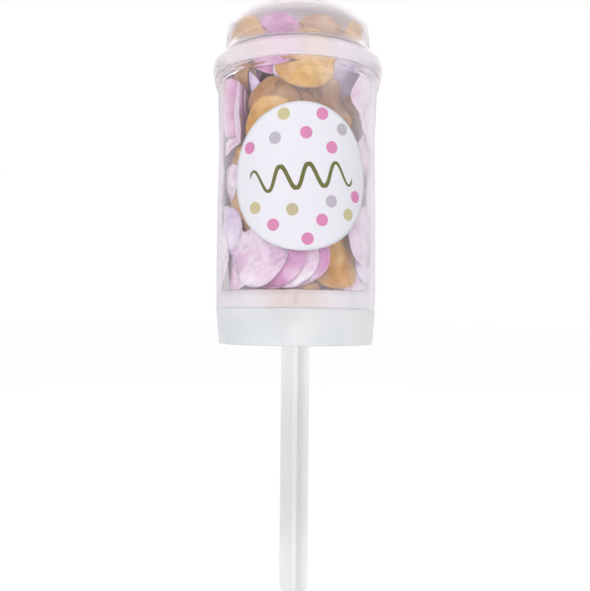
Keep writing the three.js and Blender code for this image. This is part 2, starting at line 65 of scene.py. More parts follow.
MM = 0.001
PICTURE_SIDE = 591
EYE = Vector((-0.15 * MM, -206.5 * MM, 6.14 * MM))
EYE_ROLL = math.radians(-0.5)
EYE_SENSOR = 36
EYE_LENS = 42.2
EYE_NEAREST = 5 * MM
HORIZON_DROP = 27.7  # pixels from the picture's middle down to the horizon
FLOOR_DROP = 1 * MM
FLOOR_SIDE = 60.0
FLOOR_COLOUR = (0.9, 0.9, 0.9, 1)
FLOOR_WHITENESS = 0.85  # share of plain white that hides the floor's own shading
FLOOR_GLOW = 1.08
PLAIN_WHITE = (1, 1, 1, 1)
WORLD_LIGHT = 0.53
REFLECTED_RISE = (-0.6, 0.9)  # from a look well down to a look well up
REFLECTED_STRENGTH = (0.78, 1.05)
REFLECTED_PANELS = [  # a way, where a panel starts and ends along it, and the strength that it adds
    ("X", 0.2, 0.8, 0.4),
    ("Y", 0.3, 0.95, -0.22),
    ("Z", 0.48, 0.53, 1.3),
    ("Z", 0.60, 0.66, -1.3),
]
LAMPS = [  # a name, a place, the side of the square and its power
    ("key_lamp", (-0.36, -0.56, 0.15), 0.34, 2.05),
    ("fill_lamp", (0.46, -0.40, 0.02), 0.30, 1.15),
    ("rim_lamp", (0.10, 0.45, 0.38), 0.30, 0.66),
]
LAMP_TARGET = Vector((0, 0, 40 * MM))


def feed(tree, socket, value):
    """Links a socket to another node's output, or sets it to a plain value."""
    if isinstance(value, bpy.types.NodeSocket):
        tree.links.new(value, socket)
    else:
        socket.default_value = value


def add_node(tree, kind, inputs=None, **settings):
    made = tree.nodes.new(kind)
    for key, value in settings.items():
        setattr(made, key, value)
    for key, value in (inputs or {}).items():
        feed(tree, made.inputs[key], value)
    return made


def calculate(tree, operation, *values):
    return add_node(tree, "ShaderNodeMath", dict(enumerate(values)), operation=operation).outputs[0]


def highest(tree, value, *others):
    for other in others:
        value = calculate(tree, "MAXIMUM", value, other)
    return value


def ramp(tree, value, start, end, low=0.0, high=1.0, smooth=True):
    """A value that goes from low to high while the given one goes from start to end."""
    span = {"Value": value, "From Min": start, "From Max": end, "To Min": low, "To Max": high}
    kind = "SMOOTHSTEP" if smooth else "LINEAR"
    return add_node(tree, "ShaderNodeMapRange", span, interpolation_type=kind).outputs["Result"]


def mixed(tree, share, first, second):
    """A mix of two colours, or of two numbers where the first is a plain number."""
    if isinstance(first, float):
        return add_node(tree, "ShaderNodeMix", {"Factor": share, "A": first, "B": second}).outputs["Result"]
    made = add_node(tree, "ShaderNodeMix", data_type="RGBA")
    for key, value in {"Factor": share, "A": first, "B": second}.items():
        feed(tree, next(s for s in made.inputs if s.name == key and s.enabled), value)
    return next(s for s in made.outputs if s.enabled)


def blend(tree, share, first, second):
    """A mix of two shaders."""
    return add_node(tree, "ShaderNodeMixShader", {"Fac": share, 1: first, 2: second}).outputs[0]


def seen_directly(tree):
    """1 for the rays that show the background: from the camera, in a reflection or through glass."""
    path = add_node(tree, "ShaderNodeLightPath").outputs
    return highest(tree, path["Is Glossy Ray"], path["Is Transmission Ray"], path["Is Camera Ray"])


def new_material(name):
    made = bpy.data.materials.new(name)
    made.use_nodes = True
    made.node_tree.nodes.clear()
    return made, made.node_tree


camera = bpy.data.objects.new("camera", bpy.data.cameras.new("camera"))
bpy.context.scene.collection.objects.link(camera)
bpy.context.scene.camera = camera
camera.location = EYE
camera.rotation_euler = (math.pi / 2, EYE_ROLL, 0)
camera.data.sensor_width = EYE_SENSOR
camera.data.lens = EYE_LENS
camera.data.shift_y = HORIZON_DROP / PICTURE_SIDE
camera.data.clip_start = EYE_NEAREST

bpy.context.scene.view_settings.view_transform = "Standard"

world = bpy.data.worlds.new("soft_studio")
bpy.context.scene.world = world
world.use_nodes = True
sky = world.node_tree
sky.nodes.clear()
direction = add_node(sky, "ShaderNodeTexCoord").outputs["Generated"]
ways = add_node(sky, "ShaderNodeSeparateXYZ", {"Vector": direction}).outputs
sky_path = add_node(sky, "ShaderNodeLightPath").outputs
reflected = ramp(sky, ways["Z"], *REFLECTED_RISE, *REFLECTED_STRENGTH, smooth=False)
for way, start, end, added in REFLECTED_PANELS:
    reflected = calculate(sky, "ADD", reflected, ramp(sky, ways[way], start, end, 0.0, added))
seen_strength = mixed(sky, sky_path["Is Glossy Ray"], 1.0, reflected)
strength = mixed(sky, seen_directly(sky), WORLD_LIGHT, seen_strength)
backdrop = add_node(sky, "ShaderNodeBackground", {"Color": PLAIN_WHITE, "Strength": strength})
add_node(sky, "ShaderNodeOutputWorld", {"Surface": backdrop.outputs[0]})

for lamp_name, place, side, power in LAMPS:
    lamp = bpy.data.objects.new(lamp_name, bpy.data.lights.new(lamp_name, "AREA"))
    bpy.context.scene.collection.objects.link(lamp)
    lamp.location = place
    lamp.rotation_euler = (LAMP_TARGET - Vector(place)).to_track_quat("-Z", "Y").to_euler()
    lamp.data.size = side
    lamp.data.energy = power
    lamp.visible_camera = lamp.visible_glossy = lamp.visible_transmission = False

floor_paint, tree = new_material("white_floor")
matt = add_node(tree, "ShaderNodeBsdfDiffuse", {"Color": FLOOR_COLOUR}).outputs[0]
glow = add_node(tree, "ShaderNodeEmission", {"Color": PLAIN_WHITE, "Strength": FLOOR_GLOW}).outputs[0]
whiteness = calculate(tree, "MULTIPLY", seen_directly(tree), FLOOR_WHITENESS)
add_node(tree, "ShaderNodeOutputMaterial", {"Surface": blend(tree, whiteness, matt, glow)})

floor_mesh = bpy.data.meshes.new("floor")
half_floor = FLOOR_SIDE / 2
floor_height = cad_box[0].z - FLOOR_DROP
floor_ways = ((-1, -1), (1, -1), (1, 1), (-1, 1))
floor_corners = [(x * half_floor, y * half_floor, floor_height) for x, y in floor_ways]
floor_mesh.from_pydata(floor_corners, [], [(0, 1, 2, 3)])
floor_mesh.materials.append(floor_paint)
floor = bpy.data.objects.new("floor", floor_mesh)
bpy.context.scene.collection.objects.link(floor)


# Barrel.
# One clear plastic tube, injection moulded in one shot. It narrows a little to the foot, has a bead
# that the lid comes down on, and an inner ledge that carries the piston. It is turned from its outline.

SAME_PLACE = 1e-6
ROUND_STEPS = 192
CORNER_TURN = math.radians(60)
CURVE_TURN = math.radians(42)
STRAIGHT_TURN = math.radians(1)
CURVE_FILL = 3
TUBE_RADIUS = 23.5 * MM
LEDGE_LEVEL = 10.2 * MM
BEAD_LEVEL = 74 * MM
PLASTIC_IOR = 1.49
FLOW_STRETCH = 0.12  # marks of the plastic's flow run along the axis
GRAIN_SHARE = 0.2
PATCH_SCALE = 75.0
MARK_DEPTH = 0.2 * MM
CLOUD_ROUGHNESS = 0.4
BARREL_TINT = (0.985, 0.975, 0.988, 1)
BARREL_LAMP_TINT = (0.985, 0.98, 0.985, 1)
FOOT_TINT = (0.90, 0.925, 0.94, 1)
WALL_MILK = (0.88, 0.82, 0.895, 1)
LIGHT_VEIL_MILK = (0.95, 0.90, 0.96, 1)
FOOT_MILK = (0.80, 0.825, 0.85, 1)
FOOT_MILK_LIGHT = (0.93, 0.935, 0.945, 1)
FOOT_ROUGHNESS = 0.32
WALL_ROUGHNESS = 0.02
HAZE_ROUGHNESS = 0.03
FOOT_CLOUD = 0.4
NECK_CLOUD = 0.1
PATCH_CLOUD = 0.09
LIGHT_VEIL_CLOUD = 0.36
LIGHT_VEIL_START = 12 * MM  # painted light: the tube is painted hazier and whiter from here to its right edge
LIGHT_VEIL_WHITENESS = 2.0  # how soon the painted light veil takes on its own colour
NECK_START = (BEAD_LEVEL + 1 * MM, BEAD_LEVEL + 3 * MM)
NECK_SLANT = (0.12, 0.5, 0.55)  # where the slant starts to count and where it counts most, and how much
WALL_SLANT = (0.4, 0.85, 0.6)


def welded(node):
    solid = bmesh.new()
    solid.from_mesh(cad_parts[node].data)
    bmesh.ops.remove_doubles(solid, verts=solid.verts, dist=SAME_PLACE)
    return solid


def outline_of(node):
    """The radius and height of a turned node's corners, in order, read where it crosses the front."""
    solid = welded(node)
    front = {v for v in solid.verts if abs(v.co.x) < SAME_PLACE and v.co.y < SAME_PLACE}
    spot = min(front, key=lambda v: (round(-v.co.y, 6), v.co.z))
    outline = []
    while spot:
        outline.append(Vector((-spot.co.y, spot.co.z)))
        front.discard(spot)
        onward = [edge.other_vert(spot) for edge in spot.link_edges if edge.other_vert(spot) in front]
        spot = onward[0] if onward else None
    solid.free()
    return outline


def eased(outline, closed):
    """The outline with its curves filled in, as radius, height and whether the point is a corner. An
    open outline starts and ends level on the axis."""
    count = len(outline)
    turns, ways = [], []
    for i, spot in enumerate(outline):
        if closed or 0 < i < count - 1:
            before = (spot - outline[i - 1]).normalized()
            after = (outline[(i + 1) % count] - spot).normalized()
        else:
            before = after = Vector((1, 0)) if i == 0 else Vector((-1, 0))
        turns.append(before.angle(after))
        ways.append((before + after).normalized())
    filled = []
    for i, spot in enumerate(outline):
        filled.append((spot.x, spot.y, turns[i] > CORNER_TURN))
        if not closed and i == count - 1:
            break
        j = (i + 1) % count
        curved = all(turns[k] < CURVE_TURN for k in (i, j)) and turns[i] + turns[j] > 2 * STRAIGHT_TURN
        if not curved:
            continue
        length = (outline[j] - spot).length
        for step in range(1, CURVE_FILL):
            t = step / CURVE_FILL
            on_start, on_end = (1 + 2 * t) * (1 - t) ** 2, t * t * (3 - 2 * t)
            pull_start, pull_end = t * (1 - t) ** 2, t * t * (t - 1)
            between = spot * on_start + outline[j] * on_end
            between += (ways[i] * pull_start + ways[j] * pull_end) * length
            filled.append((between.x, between.y, False))
    return filled


def finish_mesh(name, shape, material):
    bmesh.ops.recalc_face_normals(shape, faces=shape.faces)
    for face in shape.faces:
        face.smooth = True
    mesh = bpy.data.meshes.new(name)
    shape.to_mesh(mesh)
    shape.free()
    mesh.materials.append(material)
    made = bpy.data.objects.new(name, mesh)
    bpy.context.scene.collection.objects.link(made)
    return made


def shade_evenly(piece):
    weights = piece.modifiers.new("even_shading", "WEIGHTED_NORMAL")
    weights.keep_sharp = True


def turned(name, node, closed, material):
    """A fine surface turned from a node's outline, with its corners kept sharp."""
    outline = eased(outline_of(node), closed)
    shape = bmesh.new()
    rings = []
    for radius, rise, _ in outline:
        if radius < SAME_PLACE:
            rings.append([shape.verts.new((0, 0, rise))] * ROUND_STEPS)
            continue
        ring = []
        for step in range(ROUND_STEPS):
            turn = 2 * math.pi * step / ROUND_STEPS
            ring.append(shape.verts.new((radius * math.sin(turn), -radius * math.cos(turn), rise)))
        rings.append(ring)
    above = rings[1:] + rings[:1] if closed else rings[1:]
    for lower, upper in zip(rings, above):
        for i in range(ROUND_STEPS):
            j = (i + 1) % ROUND_STEPS
            shape.faces.new(list(dict.fromkeys((lower[i], lower[j], upper[j], upper[i]))))
    for ring, (_, _, corner) in zip(rings, outline):
        if corner:
            for i in range(ROUND_STEPS):
                shape.edges.get((ring[i - 1], ring[i])).smooth = False
    made = finish_mesh(name, shape, material)
    shade_evenly(made)
    return made


def new_group(name, inputs, outputs):
    """An empty node group. inputs holds socket types and defaults by name, and outputs holds types."""
    group = bpy.data.node_groups.new(name, "ShaderNodeTree")
    for socket, (kind, default) in inputs.items():
        made = group.interface.new_socket(socket, in_out="INPUT", socket_type="NodeSocket" + kind)
        if default is not None:
            made.default_value = default
    for socket, kind in outputs.items():
        group.interface.new_socket(socket, in_out="OUTPUT", socket_type="NodeSocket" + kind)
    return group, group.nodes.new("NodeGroupInput").outputs, group.nodes.new("NodeGroupOutput")


def use_group(tree, group, inputs=None):
    return add_node(tree, "ShaderNodeGroup", inputs, node_tree=group).outputs


def noise(tree, place, scale, detail, roughness=0.5, output="Fac"):
    looks = {"Vector": place, "Scale": scale, "Detail": detail, "Roughness": roughness}
    return add_node(tree, "ShaderNodeTexNoise", looks).outputs[output]


def raised(tree, height, strength, distance):
    looks = {"Height": height, "Strength": strength, "Distance": distance}
    return add_node(tree, "ShaderNodeBump", looks).outputs["Normal"]


moulding_marks, given, out = new_group(
    "moulding marks",
    {"Grain": ("Float", 900.0), "Flow": ("Float", 60.0)},
    {"Height": "Float", "Haze": "Float", "Patch": "Float"},
)
spot = add_node(moulding_marks, "ShaderNodeTexCoord").outputs["Object"]
stretching = {"Vector": spot, "Scale": (1, 1, FLOW_STRETCH)}
stretched = add_node(moulding_marks, "ShaderNodeMapping", stretching).outputs["Vector"]
flow = noise(moulding_marks, stretched, given["Flow"], 3.0)
grain = noise(moulding_marks, spot, given["Grain"], 2.0)
patch = noise(moulding_marks, spot, PATCH_SCALE, 2.0)
both_marks = calculate(moulding_marks, "MULTIPLY_ADD", grain, GRAIN_SHARE, flow)
moulding_marks.links.new(both_marks, out.inputs["Height"])
moulding_marks.links.new(ramp(moulding_marks, flow, 0.35, 0.75), out.inputs["Haze"])
moulding_marks.links.new(ramp(moulding_marks, patch, 0.4, 0.68), out.inputs["Patch"])


def plastic(name, tint, roughness, milk=None, *, clearness, bump, lamp_share, lamp_tint):
    """Moulded plastic. tint, roughness and milk are functions of the node tree and the marks. milk gives
    the colour of what is cloudy in the plastic and its share. clearness is the share of light that the
    rest lets in, and lamp_share how much of the lamps' and of scattered light passes straight through."""
    made, tree = new_material(name)
    marks = use_group(tree, moulding_marks)
    relief = raised(tree, marks["Height"], bump, MARK_DEPTH)
    looks = {
        "Base Color": tint(tree, marks),
        "Roughness": roughness(tree, marks),
        "IOR": PLASTIC_IOR,
        "Transmission Weight": clearness,
        "Normal": relief,
    }
    surface = add_node(tree, "ShaderNodeBsdfPrincipled", looks).outputs[0]
    if milk:
        colour, share = milk(tree, marks)
        cloudy = {"Base Color": colour, "Roughness": CLOUD_ROUGHNESS, "Normal": relief}
        surface = blend(tree, share, surface, add_node(tree, "ShaderNodeBsdfPrincipled", cloudy).outputs[0])
    path = add_node(tree, "ShaderNodeLightPath").outputs
    lit = highest(tree, path["Is Shadow Ray"], path["Is Diffuse Ray"])
    share = calculate(tree, "MULTIPLY", lit, lamp_share)
    clear = add_node(tree, "ShaderNodeBsdfTransparent", {"Color": lamp_tint}).outputs[0]
    add_node(tree, "ShaderNodeOutputMaterial", {"Surface": blend(tree, share, surface, clear)})
    return made


def place_of(tree):
    spot = add_node(tree, "ShaderNodeTexCoord").outputs["Object"]
    return add_node(tree, "ShaderNodeSeparateXYZ", {"Vector": spot}).outputs


def slant(tree, start, end, most):
    """A share that grows where the wall is seen at a slant, through more of the plastic."""
    facing = add_node(tree, "ShaderNodeLayerWeight", {"Blend": 0.5}).outputs["Facing"]
    return ramp(tree, facing, start, end, 0.0, most)


def hazed(tree, marks, value, added):
    """A value, with more of it where the plastic is hazy."""
    return calculate(tree, "MULTIPLY_ADD", marks["Haze"], added, value)


def above_ledge(tree, foot=0.0, tube=1.0):
    """One value in the foot and another one in the tube."""
    return ramp(tree, place_of(tree)["Z"], LEDGE_LEVEL - 0.5 * MM, LEDGE_LEVEL + 0.5 * MM, foot, tube)


def barrel_tint(tree, marks):
    return mixed(tree, above_ledge(tree), FOOT_TINT, BARREL_TINT)


def barrel_roughness(tree, marks):
    return hazed(tree, marks, above_ledge(tree, FOOT_ROUGHNESS, WALL_ROUGHNESS), HAZE_ROUGHNESS)


def barrel_milk(tree, marks):
    in_tube = above_ledge(tree)
    place = place_of(tree)
    # Painted light: a whiter haze on the tube's right side.
    right_side_light = ramp(tree, place["X"], LIGHT_VEIL_START, TUBE_RADIUS, 0.0, LIGHT_VEIL_CLOUD)
    light_veil = calculate(tree, "MULTIPLY", in_tube, right_side_light)
    foot_colour = mixed(tree, marks["Patch"], FOOT_MILK, FOOT_MILK_LIGHT)
    colour = mixed(tree, in_tube, foot_colour, WALL_MILK)
    colour = mixed(tree, calculate(tree, "MULTIPLY", light_veil, LIGHT_VEIL_WHITENESS), colour, LIGHT_VEIL_MILK)
    neck = calculate(tree, "ADD", slant(tree, *NECK_SLANT), NECK_CLOUD)
    neck = calculate(tree, "MULTIPLY", ramp(tree, place["Z"], *NECK_START), neck)
    foot = above_ledge(tree, FOOT_CLOUD, 0.0)
    patches = calculate(tree, "MULTIPLY", marks["Patch"], PATCH_CLOUD)
    return colour, highest(tree, foot, neck, slant(tree, *WALL_SLANT), patches, light_veil)


barrel_plastic = plastic(
    "clear_barrel",
    barrel_tint,
    barrel_roughness,
    barrel_milk,
    clearness=1.0,
    bump=0.1,
    lamp_share=1.0,
    lamp_tint=BARREL_LAMP_TINT,
)
barrel = turned("clear_barrel", "barrel", True, barrel_plastic)
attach(barrel, "barrel")
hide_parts("barrel")


# Lid.
# The same plastic with a frosted finish, so the paper in its dome shows soft and pale. Its skirt slips
# over the barrel's neck, and a bulge and a shoulder lead up to a low dome.

LID_TINT = (0.94, 0.92, 0.945, 1)
LID_HAZE_TINT = (0.90, 0.88, 0.91, 1)
LID_LAMP_TINT = (0.97, 0.96, 0.97, 1)
LID_MILK = (0.90, 0.845, 0.89, 1)
CROWN_MILK = (0.97, 0.94, 0.965, 1)
LID_ROUGHNESS = 0.07
LID_HAZE_ROUGHNESS = 0.05
MOUTH_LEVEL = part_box("barrel")[1].z
SKIRT_TO_BAND = (MOUTH_LEVEL - 1.5 * MM, MOUTH_LEVEL + 0.5 * MM)
BAND_START = (MOUTH_LEVEL, MOUTH_LEVEL + 1.5 * MM)
BAND_END = (MOUTH_LEVEL + 8 * MM, MOUTH_LEVEL + 6 * MM)
CROWN_START = (MOUTH_LEVEL + 6.5 * MM, MOUTH_LEVEL + 11 * MM)
SKIRT_CLOUD = 0.36
BAND_CLOUD = 0.1
CROWN_CLOUD = 0.34
CROWN_SLANT = (0.2, 0.7, 0.5)
LID_SLANT = (0.45, 0.95, 0.95)
BAND_CLEARING = 0.6  # how much less the slant counts in the band


def lid_tint(tree, marks):
    return mixed(tree, marks["Haze"], LID_TINT, LID_HAZE_TINT)


def lid_roughness(tree, marks):
    return hazed(tree, marks, LID_ROUGHNESS, LID_HAZE_ROUGHNESS)


def lid_milk(tree, marks):
    rise = place_of(tree)["Z"]
    skirt = ramp(tree, rise, *SKIRT_TO_BAND, SKIRT_CLOUD, BAND_CLOUD)
    in_crown = ramp(tree, rise, *CROWN_START)
    crown = calculate(tree, "ADD", slant(tree, *CROWN_SLANT), CROWN_CLOUD)
    crown = calculate(tree, "MULTIPLY", in_crown, crown)
    in_band = calculate(tree, "MULTIPLY", ramp(tree, rise, *BAND_START), ramp(tree, rise, *BAND_END))
    counted = calculate(tree, "MULTIPLY_ADD", in_band, -BAND_CLEARING, 1.0)
    edge = calculate(tree, "MULTIPLY", slant(tree, *LID_SLANT), counted)
    return mixed(tree, in_crown, LID_MILK, CROWN_MILK), highest(tree, skirt, crown, edge)


lid_plastic = plastic(
    "frosted_lid",
    lid_tint,
    lid_roughness,
    lid_milk,
    clearness=1.0,
    bump=0.08,
    lamp_share=0.95,
    lamp_tint=LID_LAMP_TINT,
)
lid = turned("frosted_lid", "lid", False, lid_plastic)
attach(lid, "lid")
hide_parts("lid")


# Piston.
# A pale disc with a rim, ribs and a slotted socket under it, moulded in cloudy plastic. It lies on the
# barrel's ledge and lifts the paper.

EDGE_ROUND = 0.12 * MM
EDGE_TURN = math.radians(35)
FLAT_TURN = math.radians(1)
PISTON_TINT = (0.95, 0.935, 0.955, 1)
PISTON_HAZE_TINT = (0.91, 0.90, 0.92, 1)
PISTON_LAMP_TINT = (0.97, 0.96, 0.97, 1)
PISTON_MILK = (0.94, 0.91, 0.945, 1)
PISTON_PAINTED_REFLECTION = (0.88, 0.70, 0.62, 1)  # a painted reflection of the paper above it, towards its middle
REFLECTION_MIDDLE = (2 * MM, 13 * MM)
REFLECTION_SHARE = 0.65
PISTON_ROUGHNESS = 0.42
PISTON_HAZE_ROUGHNESS = 0.1
PISTON_CLOUD = 0.5
PISTON_HAZE_CLOUD = 0.1


def moulded(name, node, material):
    """A copy of a node with its flat faces joined up and its edges broken."""
    shape = welded(node)
    bmesh.ops.dissolve_limit(shape, angle_limit=FLAT_TURN, verts=shape.verts, edges=shape.edges)
    made = finish_mesh(name, shape, material)
    edges = made.modifiers.new("edge_break", "BEVEL")
    edges.width = EDGE_ROUND
    edges.segments = 2
    edges.limit_method = "ANGLE"
    edges.angle_limit = EDGE_TURN
    edges.harden_normals = True
    shade_evenly(made)
    return made


def piston_tint(tree, marks):
    return mixed(tree, marks["Haze"], PISTON_TINT, PISTON_HAZE_TINT)


def piston_roughness(tree, marks):
    return hazed(tree, marks, PISTON_ROUGHNESS, PISTON_HAZE_ROUGHNESS)


def piston_milk(tree, marks):
    # The peach towards the middle is a painted reflection of the paper above the piston.
    sideways = calculate(tree, "ABSOLUTE", place_of(tree)["X"])
    painted_reflection = ramp(tree, sideways, *REFLECTION_MIDDLE, REFLECTION_SHARE, 0.0)
    colour = mixed(tree, painted_reflection, PISTON_MILK, PISTON_PAINTED_REFLECTION)
    return colour, hazed(tree, marks, PISTON_CLOUD, PISTON_HAZE_CLOUD)


piston_plastic = plastic(
    "cloudy_piston",
    piston_tint,
    piston_roughness,
    piston_milk,
    clearness=1.0,
    bump=0.3,
    lamp_share=0.6,
    lamp_tint=PISTON_LAMP_TINT,
)
piston = moulded("cloudy_piston", "piston", piston_plastic)
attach(piston, "plunger")
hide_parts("piston")


# Stick.
# Two crossed blades in cloudy grey plastic, with a collar that pushes on the piston's socket and a barb
# that snaps into it. Its lower end is rounded for the thumb.

STICK_MIDDLE = -35 * MM
STICK_LIT_ENDS = (10 * MM, 34 * MM)  # how far from the middle it turns to the paler tint of its ends, which is painted light
STICK_TINT = (0.90, 0.90, 0.905, 1)
STICK_HAZE_TINT = (0.85, 0.85, 0.855, 1)
STICK_LIT_END_TINT = (0.97, 0.97, 0.975, 1)
STICK_LAMP_TINT = (0.9, 0.9, 0.92, 1)
STICK_ROUGHNESS = 0.28
STICK_HAZE_ROUGHNESS = 0.12


def stick_tint(tree, marks):
    middle = mixed(tree, marks["Haze"], STICK_TINT, STICK_HAZE_TINT)
    # Painted light: the ends are painted paler than the middle.
    off_middle = calculate(tree, "ABSOLUTE", calculate(tree, "SUBTRACT", place_of(tree)["Z"], STICK_MIDDLE))
    return mixed(tree, ramp(tree, off_middle, *STICK_LIT_ENDS), middle, STICK_LIT_END_TINT)


def stick_roughness(tree, marks):
    return hazed(tree, marks, STICK_ROUGHNESS, STICK_HAZE_ROUGHNESS)


stick_plastic = plastic(
    "cloudy_stick",
    stick_tint,
    stick_roughness,
    clearness=0.4,
    bump=0.35,
    lamp_share=0.3,
    lamp_tint=STICK_LAMP_TINT,
)
stick = moulded("cloudy_stick", "stick", stick_plastic)
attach(stick, "plunger")
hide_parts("stick")


# Label.
# A round white paper sticker, smoothed round the barrel by hand. It is printed with spots in four
# inks and one waving streamer line.

LABEL_RADIUS = 19.75 * MM
LABEL_SHEET = 0.15 * MM
LABEL_LIFT = 0.06 * MM
LABEL_RINGS = 20
LABEL_STEPS = 128
LABEL_SHADE = (0.70, 0.685, 0.745, 1)
LABEL_WHITE = (0.775, 0.76, 0.82, 1)
LABEL_ROUGHNESS = (0.42, 0.55)
LABEL_BUMP = 0.12
LABEL_RELIEF = 0.05 * MM
# The print is measured in millimetres from the label's middle, to the right and up
SPOT_SIZE = 3.3
SPOT_BLUR = 0.08
SPOT_COVER = (0.82, 1.0)
OLIVE = (0.52, 0.46, 0.25, 1)
PINK = (0.62, 0.20, 0.40, 1)
GREY = (0.45, 0.41, 0.475, 1)
TAN = (0.48, 0.40, 0.25, 1)
SPOTS = [
    (-5.1, 16.4, OLIVE),
    (5.2, 16.7, PINK),
    (0.9, 11.5, PINK),
    (11.1, 13.2, GREY),
    (-7.4, 10.1, GREY),
    (-14.9, 8.1, PINK),
    (8.0, 8.0, PINK),
    (8.0, -6.4, GREY),
    (15.9, -4.4, PINK),
    (-13.0, -8.2, OLIVE),
    (-2.6, -8.9, TAN),
    (13.4, -9.5, OLIVE),
    (5.4, -11.5, PINK),
    (-7.7, -12.9, PINK),
    (1.5, -16.6, PINK),
]
STREAMER_INK = (0.125, 0.125, 0.03, 1)
STREAMER_LENGTH = 29.0
STREAMER_WAVE = 7.6
STREAMER_HEIGHT = 3.0
STREAMER_WIDTH = 1.15
STREAMER_TILT = math.radians(6)
STREAMER_BLUR = 0.06
STREAMER_END_BLUR = 0.1
STREAMER_END_SHARE = 0.55  # of the full width


def paper_disc(name, radius, rings, steps, place, material):
    """A sheet cut round. place gives the point for a distance to the right and up on the flat sheet."""
    shape = bmesh.new()
    flat = shape.loops.layers.uv.new("flat")
    rows, flat_of = [], {}
    for ring in range(rings + 1):
        size = radius * ring / rings
        row = []
        for step in range(steps if ring else 1):
            turn = 2 * math.pi * step / steps
            across, up = size * math.cos(turn), size * math.sin(turn)
            vertex = shape.verts.new(place(across, up))
            flat_of[vertex] = (0.5 + across / radius / 2, 0.5 + up / radius / 2)
            row.append(vertex)
        rows.append(row if ring else row * steps)
    for inner, outer in zip(rows, rows[1:]):
        for i in range(steps):
            j = (i + 1) % steps
            face = shape.faces.new(list(dict.fromkeys((inner[i], outer[i], outer[j], inner[j]))))
            for loop in face.loops:
                loop[flat].uv = flat_of[loop.vert]
    return finish_mesh(name, shape, material)


def thicken(piece, thickness, share_out=0.0):
    """Gives a sheet its thickness, half to each side, or with a share of 1 all of it outwards."""
    solid = piece.modifiers.new("sheet_thickness", "SOLIDIFY")
    solid.thickness = thickness
    solid.offset = share_out


def middle_turn(node):
    """The turn from the front to the middle of a node that lies round the axis."""
    points = np.array([v.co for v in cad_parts[node].data.vertices])
    return math.atan2(points[:, 0].mean(), -points[:, 1].mean())


label_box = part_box("label")
label_back = TUBE_RADIUS + LABEL_LIFT
label_height = (label_box[0].z + label_box[1].z) / 2
label_turn = middle_turn("label")


def on_tube(across, up):
    turn = label_turn + across / label_back
    return (label_back * math.sin(turn), -label_back * math.cos(turn), label_height + up)


def on_vectors(tree, operation, *values, output="Vector"):
    made = add_node(tree, "ShaderNodeVectorMath", dict(enumerate(values)), operation=operation)
    return made.outputs[output]


printed_spot, given, out = new_group(
    "printed spot",
    {
        "Place": ("Vector", None),
        "Middle": ("Vector", None),
        "Size": ("Float", 3.0),
        "Under": ("Color", (1, 1, 1, 1)),
        "Ink": ("Color", (0, 0, 0, 1)),
    },
    {"Colour": "Color"},
)
from_middle = on_vectors(printed_spot, "DISTANCE", given["Place"], given["Middle"], output="Value")
uneven = noise(printed_spot, given["Place"], 3.2, 3.0)
spot_radius = calculate(printed_spot, "MULTIPLY", given["Size"], 0.5)
beyond = calculate(printed_spot, "SUBTRACT", from_middle, spot_radius)
inside = ramp(printed_spot, beyond, SPOT_BLUR, -SPOT_BLUR)
cover = calculate(printed_spot, "MULTIPLY", inside, ramp(printed_spot, uneven, 0.2, 0.6, *SPOT_COVER))
printed_spot.links.new(mixed(printed_spot, cover, given["Under"], given["Ink"]), out.inputs["Colour"])

label_paper, tree = new_material("printed_label")
flat_place = add_node(tree, "ShaderNodeUVMap", uv_map="flat").outputs["UV"]
label_width = 2 * LABEL_RADIUS / MM
centring = {"Scale": (label_width, label_width, 1), "Location": (-label_width / 2, -label_width / 2, 0)}
in_millimetres = add_node(tree, "ShaderNodeMapping", {"Vector": flat_place, **centring}).outputs["Vector"]
pulp = noise(tree, in_millimetres, 2.6, 5.0, 0.7)
colour = mixed(tree, pulp, LABEL_SHADE, LABEL_WHITE)
for across, up, ink in SPOTS:
    values = {"Place": in_millimetres, "Middle": (across, up, 0), "Size": SPOT_SIZE}
    colour = use_group(tree, printed_spot, {**values, "Under": colour, "Ink": ink})["Colour"]
turning = {"Vector": in_millimetres, "Angle": -STREAMER_TILT}
tilted = add_node(tree, "ShaderNodeVectorRotate", turning, rotation_type="Z_AXIS").outputs["Vector"]
tilted_parts = add_node(tree, "ShaderNodeSeparateXYZ", {"Vector": tilted}).outputs
waves_per_unit = 2 * math.pi / STREAMER_WAVE
phase = calculate(tree, "MULTIPLY", tilted_parts["X"], waves_per_unit)
wave = calculate(tree, "MULTIPLY", calculate(tree, "SINE", phase), STREAMER_HEIGHT)
steepness = calculate(tree, "MULTIPLY", calculate(tree, "COSINE", phase), STREAMER_HEIGHT * waves_per_unit)
lengthening = calculate(tree, "SQRT", calculate(tree, "MULTIPLY_ADD", steepness, steepness, 1.0))
off_wave = calculate(tree, "ABSOLUTE", calculate(tree, "SUBTRACT", tilted_parts["Y"], wave))
off_line = calculate(tree, "DIVIDE", off_wave, lengthening)
past_end = calculate(tree, "SUBTRACT", calculate(tree, "ABSOLUTE", tilted_parts["X"]), STREAMER_LENGTH / 2)
taper = ramp(tree, past_end, 0.0, -STREAMER_LENGTH / 3, STREAMER_END_SHARE, 1.0)
past_side = calculate(tree, "SUBTRACT", off_line, calculate(tree, "MULTIPLY", taper, STREAMER_WIDTH / 2))
on_line = ramp(tree, past_side, STREAMER_BLUR, -STREAMER_BLUR)
inked = calculate(tree, "MULTIPLY", on_line, ramp(tree, past_end, STREAMER_END_BLUR, -STREAMER_END_BLUR))
looks = {
    "Base Color": mixed(tree, inked, colour, STREAMER_INK),
    "Roughness": ramp(tree, pulp, 0.3, 0.7, *LABEL_ROUGHNESS),
    "Normal": raised(tree, pulp, LABEL_BUMP, LABEL_RELIEF),
}
surface = add_node(tree, "ShaderNodeBsdfPrincipled", looks).outputs[0]
add_node(tree, "ShaderNodeOutputMaterial", {"Surface": surface})

